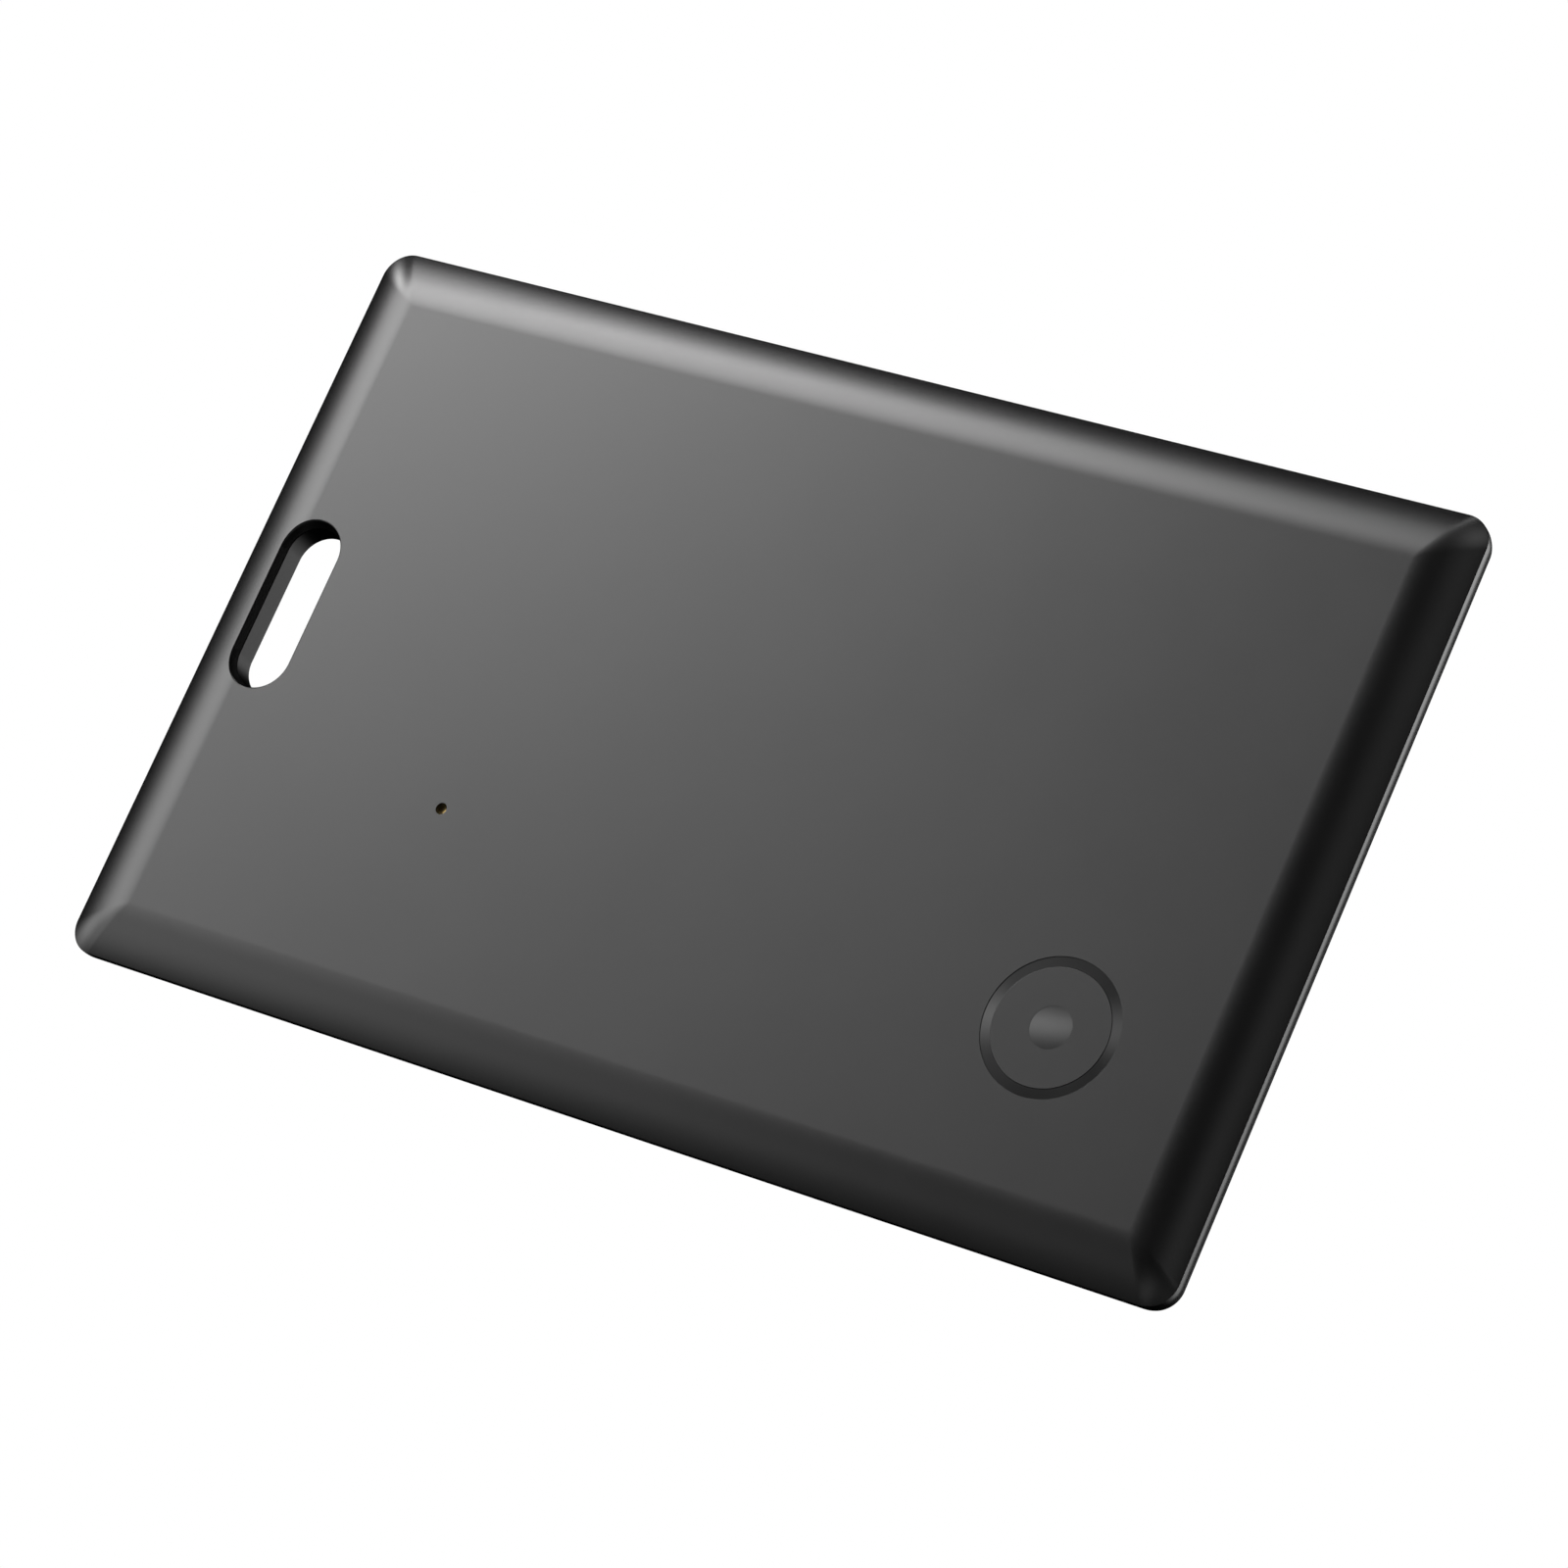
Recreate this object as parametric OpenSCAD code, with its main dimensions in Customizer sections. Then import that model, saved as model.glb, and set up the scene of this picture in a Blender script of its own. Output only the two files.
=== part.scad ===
/* [Card] */
// Length of the card along X
card_l = 85.6; // [85:0.1:90]
// Width of the card along Y
card_w = 54; // [53:0.1:58]
// Overall thickness, from the back face to the front face
card_t = 2.5; // [2.5:0.05:2.8]
// Radius of the four corners in plan
corner_r = 2; // [1.8:0.1:2.6]

/* [Edges] */
// Width of the curved bevel that frames the flat front
bevel_w = 4.05; // [3.6:0.05:4.3]
// How far the bevel falls between the flat front and the sharp arris
bevel_drop = 1; // [0.8:0.05:1.1]
// Height over which the side wall curves in towards the back
tuck_h = 1.15; // [0.9:0.05:1.25]
// Radius of that inward curve, in section
tuck_r = 3.2; // [2.6:0.1:5]

/* [Covers] */
// Thickness of the front cover's roof
roof_t = 0.5; // [0.45:0.01:0.5]
// Thickness of the back cover's floor
floor_t = 0.45; // [0.4:0.01:0.45]
// Thickness of the side wall
wall_t = 1; // [0.9:0.05:1.1]
// Thickness of the die-cut gaskets between the two covers
gasket_t = 0.1; // [0.06:0.01:0.12]
// How far the edge gasket sits back from the wall, which leaves the seam line
seam_recess = 0.2; // [0.15:0.01:0.3]
// Height of the back cover's locating lip above its floor
lip_h = 0.6; // [0.4:0.05:0.7]
// Thickness of the locating lip
lip_t = 0.6; // [0.5:0.05:0.8]
// Assembly gap between the lip and the front cover's wall
lip_gap = 0.05; // [0.03:0.01:0.1]
// Radius of the posts that hold the board down
post_r = 0.8; // [0.6:0.05:1]

/* [Lanyard slot] */
// Distance from the card's centre to the middle of the slot
slot_x = 37.74; // [37.7:0.01:38]
// Half the distance between the centres of the slot's round ends
slot_half = 3.92; // [3.5:0.01:4.5]
// Radius of the slot's mouth in the front face
slot_mouth_r = 2.41; // [2.35:0.01:2.45]
// Radius where the lead-in meets the collar
slot_neck_r = 2.2; // [2.1:0.01:2.25]
// Radius of the slot in the back face
slot_back_r = 2.18; // [2:0.01:2.24]
// Height of the neck above the back face
slot_neck_z = 1.74; // [1.7:0.01:1.8]
// Outer radius of the back cover's collar
collar_r = 2.75; // [2.6:0.01:2.8]
// Outer radius of the front cover's boss round the slot
slot_boss_r = 3.1; // [2.9:0.01:3.2]

/* [Sound port] */
// Distance of the sound port from the card's centre, towards the slot
port_x = 19.15; // [17:0.01:21]
// Distance of the sound port below the long centre line
port_y = 10.5; // [9:0.01:14]
// Radius of the sound port
port_r = 0.4; // [0.3:0.05:0.6]

/* [Button] */
// Distance of the button from the card's centre, away from the slot
button_x = 28.54; // [27.5:0.01:29.5]
// Distance of the button below the long centre line
button_y = 12.47; // [12:0.01:13.5]
// Radius of the button cap
cap_r = 4.01; // [3.6:0.01:4.1]
// Radius of the round recess that the cap sits in
recess_r = 4.7; // [4.6:0.01:4.9]
// Depth of the ring groove round the cap
groove_depth = 0.04; // [0.02:0.01:0.08]
// Thickness of the cap's disc
cap_t = 0.3; // [0.25:0.01:0.3]
// Radius of the round spot sunk in the middle of the cap
spot_r = 1.44; // [1.2:0.01:1.6]
// Depth of the spot
spot_depth = 0.02; // [0.01:0.01:0.05]
// Radius of the cap's stem
stem_r = 2.2; // [1.8:0.05:2.2]
// Radial gap round the stem
stem_gap = 0.2; // [0.15:0.01:0.25]
// Height of the ledge that carries the button seal
ledge_z = 1.8; // [1.78:0.01:1.85]
// Thickness of that ledge
ledge_t = 0.25; // [0.2:0.01:0.3]
// Outer radius of the boss round the recess
button_boss_r = 5.8; // [5.6:0.05:6]

/* [Dome switch] */
// Radius of the snap dome
dome_r = 2.5; // [2:0.05:2.6]
// Height of the snap dome
dome_h = 0.3; // [0.25:0.01:0.3]
// Thickness of the dome's sheet steel
dome_t = 0.08; // [0.05:0.01:0.1]
// Thickness of the tape over the dome
dome_tape_t = 0.04; // [0.03:0.01:0.06]
// Radius of the tape's skirt
dome_tape_r = 3.6; // [3.2:0.05:3.8]
// Gap between the stem's tip and the tape
stem_tip_gap = 0.02; // [0.01:0.01:0.04]

/* [Board] */
// Thickness of the circuit board
board_t = 0.4; // [0.35:0.01:0.4]
// Thickness of the adhesive films under the board and the battery
film_t = 0.05; // [0.03:0.01:0.06]
// Thickness of bare copper and gold-plated pads
pad_t = 0.03; // [0.02:0.01:0.04]
// Distance of the board's end from the card's centre, away from the slot
board_right = 38; // [37:0.1:38.2]
// Where the board's tall part begins
board_step = 18.5; // [18.2:0.1:19]
// Distance of the board's low end from the card's centre, towards the slot
board_left = 6; // [5.5:0.1:6.5]
// Half the board's height along Y
board_half = 21.5; // [21.2:0.1:22]
// Distance of the low part's top edge below the long centre line
board_low_top = 3; // [2.5:0.1:3.5]

/* [Battery] */
// Length of the pouch cell along X
battery_l = 46.5; // [44:0.1:46.5]
// Width of the pouch cell along Y
battery_w = 22.5; // [20:0.1:22.8]
// Thickness of the pouch cell
battery_t = 1.2; // [1:0.05:1.2]
// Where the cell's terrace end stands
battery_right = 13.5; // [13:0.1:14]
// Height of the cell's middle above the long centre line
battery_y = 9.75; // [9.6:0.05:10]
// Length of the sealed terrace that the tabs leave from
terrace_l = 2; // [1.5:0.1:2.2]
// Width of each nickel tab
tab_w = 2.5; // [2:0.1:3]
// Thickness of each nickel tab
tab_t = 0.1; // [0.08:0.01:0.15]

/* [Buzzer] */
// Distance of the buzzer's centre from the card's centre, towards the slot
buzzer_x = 18.2; // [17.8:0.1:18.6]
// Distance of the buzzer's centre below the long centre line
buzzer_y = 12.2; // [12:0.1:12.4]
// Radius of the brass plate
plate_r = 10; // [9.4:0.1:10]
// Thickness of the brass plate
plate_t = 0.15; // [0.1:0.01:0.15]
// Radius of the ceramic disc
ceramic_r = 7; // [6:0.1:7.5]
// Thickness of the ceramic disc
ceramic_t = 0.12; // [0.1:0.01:0.15]
// Depth of the round pocket in the roof over the plate
pocket_depth = 0.1; // [0.05:0.01:0.15]
// Thickness of the foam ring between plate and roof
ring_t = 0.1; // [0.08:0.01:0.15]
// Width of the foam ring
ring_w = 1.4; // [1:0.1:2]
// Radius of the two leads
lead_r = 0.15; // [0.1:0.01:0.15]

/* [Hidden] */
$fn = 96;

// Cutters run this far past the faces they cut
over = 0.5;

// Outer form: half sizes of the flat front, and the radii of the bevel's arcs
flat_x = card_l / 2 - bevel_w;
flat_y = card_w / 2 - bevel_w;
crown_r = (bevel_w * bevel_w + bevel_drop * bevel_drop) / (2 * bevel_drop);
// The same fall, taken across a corner between the flat's corner and the corner arc
corner_reach = bevel_w * sqrt(2) - corner_r * (sqrt(2) - 1);
corner_flat = (flat_x + flat_y) / sqrt(2);
corner_crown_r = (corner_reach * corner_reach + bevel_drop * bevel_drop) / (2 * bevel_drop);

// Levels, measured up from the back face
roof_z = card_t - roof_t;
floor_z = floor_t;
wall_foot_z = floor_z + gasket_t;
inside_z = floor_z + film_t;
board_z = inside_z + board_t;
pad_z = board_z + pad_t;
dome_top_z = pad_z + dome_h;
stem_tip_z = dome_top_z + dome_tape_t + stem_tip_gap;
cap_z = card_t - cap_t;
groove_z = card_t - groove_depth;
pocket_z = roof_z + pocket_depth;
plate_z = pocket_z - ring_t - plate_t;
ceramic_z = plate_z - ceramic_t;
battery_top_z = inside_z + battery_t;

// Running gap between the cap's edge and the seal
cap_gap = 0.02;
// Gap round the plate in its pocket
pocket_gap = 0.2;
// Radius of the sphere that the dome's outer face lies on
dome_ball_r = (dome_r * dome_r + dome_h * dome_h) / (2 * dome_h);

// Places of the small parts, as [x, y] seen from the front
post_places = [[20, -1.2], [36.4, -3.2], [-4.2, -19.6], [36.4, -19.6]];
radio_place = [29, 4];
main_crystal_place = [34.6, 6.2];
clock_crystal_place = [34.8, 1.8];
motion_place = [24.4, -3.6];
driver_place = [4.5, -9.5];
inductor_place = [10, -9.5];
tab_plus_y = 9.5;
tab_minus_y = 3;
tab_end_x = 21.6;
lead_pad_x = -4.2;
lead_plus_y = -8;
lead_minus_y = -12;

// Outer form

// Half of the card's section across an edge, with the side wall that tucks in below
module half_section(reach) {
    intersection() {
        square([reach, card_t]);
        union() {
            square([max(reach - corner_r, corner_r / 2), card_t]);
            translate([0, tuck_h]) square([reach, card_t]);
            translate([reach - tuck_r, tuck_h]) circle(r = tuck_r, $fn = 180);
        }
    }
}

module full_section(reach) {
    half_section(reach);
    mirror([1, 0]) half_section(reach);
}

// The card's block: its outline and side walls, before the front is crowned
module block() {
    rotate([90, 0, 0]) linear_extrude(card_w - 2 * corner_r, center = true) full_section(card_l / 2);
    rotate([90, 0, 90]) linear_extrude(card_l - 2 * corner_r, center = true) full_section(card_w / 2);
    for (sx = [-1, 1], sy = [-1, 1])
        translate([sx * (card_l / 2 - corner_r), sy * (card_w / 2 - corner_r), 0])
            rotate_extrude() half_section(corner_r);
}

// Everything under a front that is flat to half_flat each way and then falls along an arc
module crown(half_flat, top, radius) {
    rotate([90, 0, 0])
        linear_extrude(2 * card_l, center = true) {
            translate([-half_flat, top - radius]) square([2 * half_flat, radius]);
            for (side = [-1, 1])
                translate([side * half_flat, top - radius]) circle(r = radius, $fn = 360);
        }
}

// The crowned front: two pairs of bevels and a softer fall across each corner.
// A depth above 0 gives the parallel surface that far inside.
module crowned_front(depth) {
    intersection() {
        crown(flat_x, card_t - depth, crown_r - depth);
        rotate([0, 0, 90]) crown(flat_y, card_t - depth, crown_r - depth);
        rotate([0, 0, 45]) crown(corner_flat, card_t - depth, corner_crown_r - depth);
        rotate([0, 0, -45]) crown(corner_flat, card_t - depth, corner_crown_r - depth);
    }
}

module rounded_rect(l, w, r) {
    square([l - 2 * r, w], center = true);
    square([l, w - 2 * r], center = true);
    for (sx = [-1, 1], sy = [-1, 1])
        translate([sx * (l / 2 - r), sy * (w / 2 - r)]) circle(r = r);
}

// A slab with the card's outline, set in by inset, between two heights
module outline_slab(inset, low, high) {
    translate([0, 0, low])
        linear_extrude(high - low)
            rounded_rect(card_l - 2 * inset, card_w - 2 * inset, max(corner_r - inset, 0.3));
}

// A flat disc or a flat ring between two heights
module disc(r, low, high) {
    translate([0, 0, low]) cylinder(r = r, h = high - low);
}

module flat_ring(outer, inner, low, high) {
    difference() {
        disc(outer, low, high);
        disc(inner, low - over, high + over);
    }
}

// Stadium along Y at the slot's place, with a radius that may change with height
module slot_form(r_low, r_high, low, high) {
    translate([-slot_x, 0, 0]) {
        for (side = [-1, 1])
            translate([0, side * slot_half, low]) cylinder(r1 = r_low, r2 = r_high, h = high - low);
        rotate([90, 0, 0])
            linear_extrude(2 * slot_half, center = true)
                polygon([[-r_low, low], [r_low, low], [r_high, high], [-r_high, high]]);
    }
}

// Slope of the slot's two walls, as growth of radius per height
collar_slope = (slot_neck_r - slot_back_r) / slot_neck_z;
mouth_slope = (slot_mouth_r - slot_neck_r) / (card_t - slot_neck_z);

module at_button() translate([button_x, -button_y, 0]) children();
module at_buzzer() translate([-buzzer_x, -buzzer_y, 0]) children();

// Covers

module front_cover() {
    color([0.15, 0.15, 0.155])
        difference() {
            intersection() {
                union() {
                    difference() {
                        block();
                        intersection() {
                            crowned_front(roof_t);
                            outline_slab(wall_t, -over, card_t);
                        }
                    }
                    slot_form(slot_boss_r, slot_boss_r, slot_neck_z, card_t);
                    at_button() disc(button_boss_r, ledge_z - ledge_t, card_t);
                    for (p = post_places) translate(p) disc(post_r, board_z, card_t);
                }
                crowned_front(0);
                outline_slab(-over, wall_foot_z, card_t + over);
            }
            slot_form(slot_neck_r - over * mouth_slope, slot_mouth_r + over * mouth_slope,
                      slot_neck_z - over, card_t + over);
            at_buzzer() disc(plate_r + pocket_gap, roof_z - over, pocket_z);
            translate([-port_x, -port_y, 0]) disc(port_r, roof_z - over, card_t + over);
            at_button() disc(recess_r, ledge_z, card_t + over);
            at_button() disc(stem_r + stem_gap, ledge_z - ledge_t - over, ledge_z + over);
        }
}

module back_cover() {
    color([0.13, 0.13, 0.135])
        difference() {
            union() {
                intersection() {
                    block();
                    outline_slab(-over, -over, floor_z);
                }
                difference() {
                    outline_slab(wall_t + lip_gap, 0, floor_z + lip_h);
                    outline_slab(wall_t + lip_gap + lip_t, floor_z, floor_z + lip_h + over);
                }
                slot_form(collar_r, collar_r, 0, slot_neck_z - gasket_t);
            }
            slot_form(slot_back_r - over * collar_slope, slot_neck_r + over * collar_slope,
                      -over, slot_neck_z + over);
        }
}

module cover_gasket() {
    color([0.08, 0.08, 0.08])
        difference() {
            outline_slab(seam_recess, floor_z, wall_foot_z);
            outline_slab(wall_t, floor_z - over, wall_foot_z + over);
        }
}

module slot_gasket() {
    inner_r = slot_neck_r + 0.14;
    color([0.08, 0.08, 0.08])
        difference() {
            slot_form(collar_r - 0.05, collar_r - 0.05, slot_neck_z - gasket_t, slot_neck_z);
            slot_form(inner_r, inner_r, slot_neck_z - gasket_t - over, slot_neck_z + over);
        }
}

// Button and switch

module button_cap() {
    color([0.15, 0.15, 0.155])
        at_button()
            difference() {
                union() {
                    disc(cap_r, cap_z, card_t);
                    disc(stem_r, stem_tip_z, cap_z + over / 5);
                }
                disc(spot_r, card_t - spot_depth, card_t + over);
            }
}

module button_seal() {
    color([0.1, 0.1, 0.1])
        at_button() {
            flat_ring(recess_r, stem_r + stem_gap, ledge_z, cap_z);
            flat_ring(recess_r, cap_r + cap_gap, ledge_z, groove_z);
        }
}

module metal_dome() {
    ball_z = dome_top_z - dome_ball_r;
    color([0.78, 0.78, 0.76])
        at_button()
            intersection() {
                translate([0, 0, ball_z])
                    difference() {
                        sphere(r = dome_ball_r, $fn = 360);
                        sphere(r = dome_ball_r - dome_t, $fn = 360);
                    }
                disc(dome_r, pad_z, dome_top_z + over);
            }
}

module dome_tape() {
    ball_z = dome_top_z - dome_ball_r;
    color([0.75, 0.5, 0.15])
        at_button()
            difference() {
                union() {
                    intersection() {
                        translate([0, 0, ball_z]) sphere(r = dome_ball_r + dome_tape_t, $fn = 360);
                        disc(dome_tape_r, pad_z, dome_top_z + over);
                    }
                    disc(dome_tape_r, pad_z, pad_z + dome_tape_t);
                }
                translate([0, 0, ball_z]) sphere(r = dome_ball_r, $fn = 360);
            }
}

module switch_contacts() {
    color([0.85, 0.66, 0.25])
        at_button() {
            disc(0.8, board_z, pad_z);
            flat_ring(dome_r + 0.2, dome_r - 0.5, board_z, pad_z);
        }
}

// Circuit board and what it carries

module board_outline() {
    difference() {
        union() {
            translate([board_step, -board_half])
                square([board_right - board_step, 2 * board_half]);
            translate([-board_left, -board_half])
                square([board_left + board_step + 1, board_half - board_low_top]);
        }
        // Bite that clears the cell's corner
        translate([board_step, board_half]) circle(r = 1.5);
    }
}

module circuit_board() {
    color([0.05, 0.2, 0.12])
        translate([0, 0, inside_z]) linear_extrude(board_t) board_outline();
}

module board_tape() {
    margin = 1;
    color([0.85, 0.83, 0.75])
        translate([0, 0, floor_z])
            linear_extrude(film_t) {
                translate([board_step + margin, margin - board_half])
                    square([board_right - board_step - 2 * margin, 2 * (board_half - margin) - 1]);
                translate([margin - board_left, margin - board_half])
                    square([board_left + board_step, board_half - board_low_top - 2 * margin]);
            }
}

// A flat chip with a round pin-one mark in its lid
module chip(size) {
    mark_r = 0.2;
    difference() {
        translate([-size[0] / 2, -size[1] / 2, board_z]) cube(size);
        translate([0.45 - size[0] / 2, size[1] / 2 - 0.45, board_z + size[2] - 0.04]) cylinder(r = mark_r, h = over);
    }
}

// A ceramic base with a slightly smaller seam-welded lid
module crystal(size) {
    base_h = size[2] * 0.55;
    translate([-size[0] / 2, -size[1] / 2, board_z]) cube([size[0], size[1], base_h]);
    translate([0.12 - size[0] / 2, 0.12 - size[1] / 2, board_z])
        cube([size[0] - 0.24, size[1] - 0.24, size[2]]);
}

// A two-ended part: a body between two slightly proud end caps
module passive(height) {
    length = 1;
    width = 0.5;
    cap_l = 0.22;
    proud = 0.02;
    translate([-length / 2, proud - width / 2, board_z]) cube([length, width - 2 * proud, height - proud]);
    for (side = [-1, 1])
        translate([side * (length - cap_l) / 2 - cap_l / 2, -width / 2, board_z]) cube([cap_l, width, height]);
}

module radio_chip() {
    color([0.1, 0.1, 0.11]) translate(radio_place) chip([5, 5, 0.85]);
}

module main_crystal() {
    color([0.72, 0.72, 0.7]) translate(main_crystal_place) crystal([2.5, 2, 0.55]);
}

module clock_crystal() {
    color([0.72, 0.72, 0.7]) translate(clock_crystal_place) crystal([1.5, 3.2, 0.75]);
}

module motion_sensor() {
    color([0.1, 0.1, 0.11]) translate(motion_place) chip([2, 2, 0.85]);
}

module buzzer_driver() {
    color([0.1, 0.1, 0.11]) translate(driver_place) chip([2.5, 2.5, 0.6]);
}

module boost_inductor() {
    side = 3;
    height = 0.9;
    color([0.3, 0.29, 0.28])
        translate(inductor_place)
            difference() {
                translate([0, 0, board_z]) linear_extrude(height) rounded_rect(side, side, 0.4);
                for (end = [-1, 1])
                    translate([end * side / 2, 0, board_z + height / 2]) cube([0.2, side / 3, height + over], center = true);
            }
}

module capacitors() {
    row_step = 1.9;
    color([0.62, 0.5, 0.36]) {
        for (i = [0 : 3]) translate([26.2 + i * row_step, 8.4]) passive(0.5);
        for (i = [0 : 2]) translate([28 + i * row_step, -0.4]) passive(0.5);
        for (i = [0 : 1]) translate([24.4, 2.6 + i * row_step]) passive(0.5);
        for (i = [0 : 2]) translate([2.6 + i * row_step * 2.2, -5.8]) passive(0.5);
    }
}

module resistors() {
    row_step = 1.9;
    color([0.12, 0.12, 0.13]) {
        for (i = [0 : 2]) translate([27.2 + i * row_step, 10]) passive(0.35);
        for (i = [0 : 3]) translate([2.6 + i * row_step, -13]) passive(0.35);
        for (i = [0 : 1]) translate([29.4 + i * row_step, -4]) passive(0.35);
    }
}

// A meandering copper line at the board's far end, fed from below
module antenna_trace() {
    line_w = 0.6;
    pitch = 1.8;
    turns = 8;
    low_y = 14;
    high_y = 20;
    first_x = 22.4;
    color([0.8, 0.55, 0.3])
        translate([0, 0, board_z])
            linear_extrude(pad_t) {
                for (i = [0 : turns - 1])
                    translate([first_x + i * pitch, low_y]) square([line_w, high_y - low_y]);
                for (i = [0 : turns - 2])
                    translate([first_x + i * pitch, i % 2 == 0 ? high_y - line_w : low_y])
                        square([pitch + line_w, line_w]);
                translate([first_x, low_y - 2.2]) square([line_w, 2.2 + line_w]);
            }
}

module test_pads() {
    count = 5;
    spacing = 2.2;
    color([0.85, 0.66, 0.25])
        for (i = [0 : count - 1]) translate([6 + i * spacing, -18.6]) disc(0.65, board_z, pad_z);
}

// A low round bead of solder that sits on a surface at the given height
module solder_bead(place, r, low) {
    rise = r * 0.45;
    ball_r = (r * r + rise * rise) / (2 * rise);
    translate([place[0], place[1], low])
        intersection() {
            translate([0, 0, rise - ball_r]) sphere(r = ball_r);
            cylinder(r = r + over, h = rise + over);
        }
}

module solder_joints() {
    bead_step = 1.1;
    color([0.8, 0.8, 0.82]) {
        for (y = [tab_plus_y, tab_minus_y], i = [-0.5, 0.5])
            solder_bead([tab_end_x - 1.2, y + i * bead_step], 0.45, board_z + tab_t);
        for (y = [lead_plus_y, lead_minus_y])
            solder_bead([lead_pad_x + lead_r + 0.6, y], 0.55, board_z);
    }
}

// Buzzer

module piezo_plate() {
    color([0.8, 0.62, 0.28]) at_buzzer() disc(plate_r, plate_z, plate_z + plate_t);
}

module piezo_ceramic() {
    color([0.88, 0.87, 0.83]) at_buzzer() disc(ceramic_r, ceramic_z, plate_z);
}

module piezo_ring() {
    color([0.12, 0.12, 0.12]) at_buzzer() flat_ring(plate_r, plate_r - ring_w, plate_z + plate_t, pocket_z);
}

// Point on a cubic curve through four control points, and its direction there
function curve(c, t) = pow(1 - t, 3) * c[0] + 3 * t * pow(1 - t, 2) * c[1] + 3 * t * t * (1 - t) * c[2] + pow(t, 3) * c[3];
function curve_run(c, t) = pow(1 - t, 2) * (c[1] - c[0]) + 2 * t * (1 - t) * (c[2] - c[1]) + t * t * (c[3] - c[2]);
function unit(v) = v / norm(v);

// A round lead swept along the curve: rings of points square to it, closed by two flat ends
module lead(controls) {
    sides = 12;
    rings = 18;
    points = [
        for (i = [0 : rings])
            let (
                t = i / rings,
                run = unit(curve_run(controls, t)),
                across = unit(cross([0, 0, 1], run)),
                rise = cross(run, across)
            )
            for (j = [0 : sides - 1])
                curve(controls, t) + lead_r * (cos(j * 360 / sides) * across + sin(j * 360 / sides) * rise)
    ];
    walls = [
        for (i = [0 : rings - 1], j = [0 : sides - 1])
            let (next = (j + 1) % sides)
            each [
                [i * sides + j, (i + 1) * sides + next, i * sides + next],
                [i * sides + j, (i + 1) * sides + j, (i + 1) * sides + next]
            ]
    ];
    first_end = [for (j = [0 : sides - 1]) j];
    last_end = [for (j = [sides - 1 : -1 : 0]) rings * sides + j];
    polyhedron(points = points, faces = concat(walls, [first_end], [last_end]), convexity = 4);
}

module lead_plus() {
    color([0.75, 0.08, 0.06])
        lead([
            [-13.2, -10.2, ceramic_z - lead_r - 0.01],
            [-10.2, -10.6, ceramic_z - lead_r - 0.06],
            [-8, lead_plus_y, board_z + lead_r + 0.08],
            [lead_pad_x, lead_plus_y, board_z + lead_r + 0.01]
        ]);
}

module lead_minus() {
    color([0.07, 0.07, 0.07])
        lead([
            [-10.2, -15.2, plate_z - lead_r - 0.01],
            [-8.6, -15.6, plate_z - lead_r - 0.1],
            [-8.2, lead_minus_y, board_z + lead_r + 0.08],
            [lead_pad_x, lead_minus_y, board_z + lead_r + 0.01]
        ]);
}

// Battery

module battery_cell() {
    fold_t = 0.25;
    fold_h = 0.8;
    color([0.72, 0.73, 0.75])
        translate([battery_right - battery_l / 2, battery_y, inside_z]) {
            linear_extrude(battery_t) rounded_rect(battery_l, battery_w, 0.9);
            // Sealed pouch seams folded up along the two long sides
            for (side = [-1, 1])
                translate([-battery_l / 2 + 1, side * battery_w / 2 - fold_t, 0])
                    cube([battery_l - 2, 2 * fold_t, fold_h]);
            // Terrace that the two tabs leave from
            translate([0, 1 - battery_w / 2, board_z - inside_z - 0.05])
                cube([battery_l / 2 + terrace_l, battery_w - 2, 0.2]);
        }
}

module battery_tab(y) {
    start_x = battery_right + terrace_l;
    translate([start_x, y - tab_w / 2, board_z]) cube([tab_end_x - start_x, tab_w, tab_t]);
}

module battery_tab_plus() {
    color([0.75, 0.74, 0.7]) battery_tab(tab_plus_y);
}

module battery_tab_minus() {
    color([0.75, 0.74, 0.7]) battery_tab(tab_minus_y);
}

// A flat pad of the cell's size, set in from its edges, between two heights
module battery_pad(margin, low, high) {
    translate([battery_right - battery_l / 2, battery_y, low])
        linear_extrude(high - low) rounded_rect(battery_l - 2 * margin, battery_w - 2 * margin, 0.8);
}

module battery_tape() {
    color([0.85, 0.83, 0.75]) battery_pad(2, floor_z, inside_z);
}

module battery_foam() {
    color([0.2, 0.2, 0.21]) battery_pad(3, battery_top_z, roof_z);
}

front_cover();
back_cover();
cover_gasket();
slot_gasket();
button_cap();
button_seal();
metal_dome();
dome_tape();
switch_contacts();
circuit_board();
board_tape();
radio_chip();
main_crystal();
clock_crystal();
motion_sensor();
buzzer_driver();
boost_inductor();
capacitors();
resistors();
antenna_trace();
test_pads();
solder_joints();
piezo_plate();
piezo_ceramic();
piezo_ring();
lead_plus();
lead_minus();
battery_cell();
battery_tab_plus();
battery_tab_minus();
battery_tape();
battery_foam();
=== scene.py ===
import math

import bmesh
import bpy
from mathutils import Matrix, Vector


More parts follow.
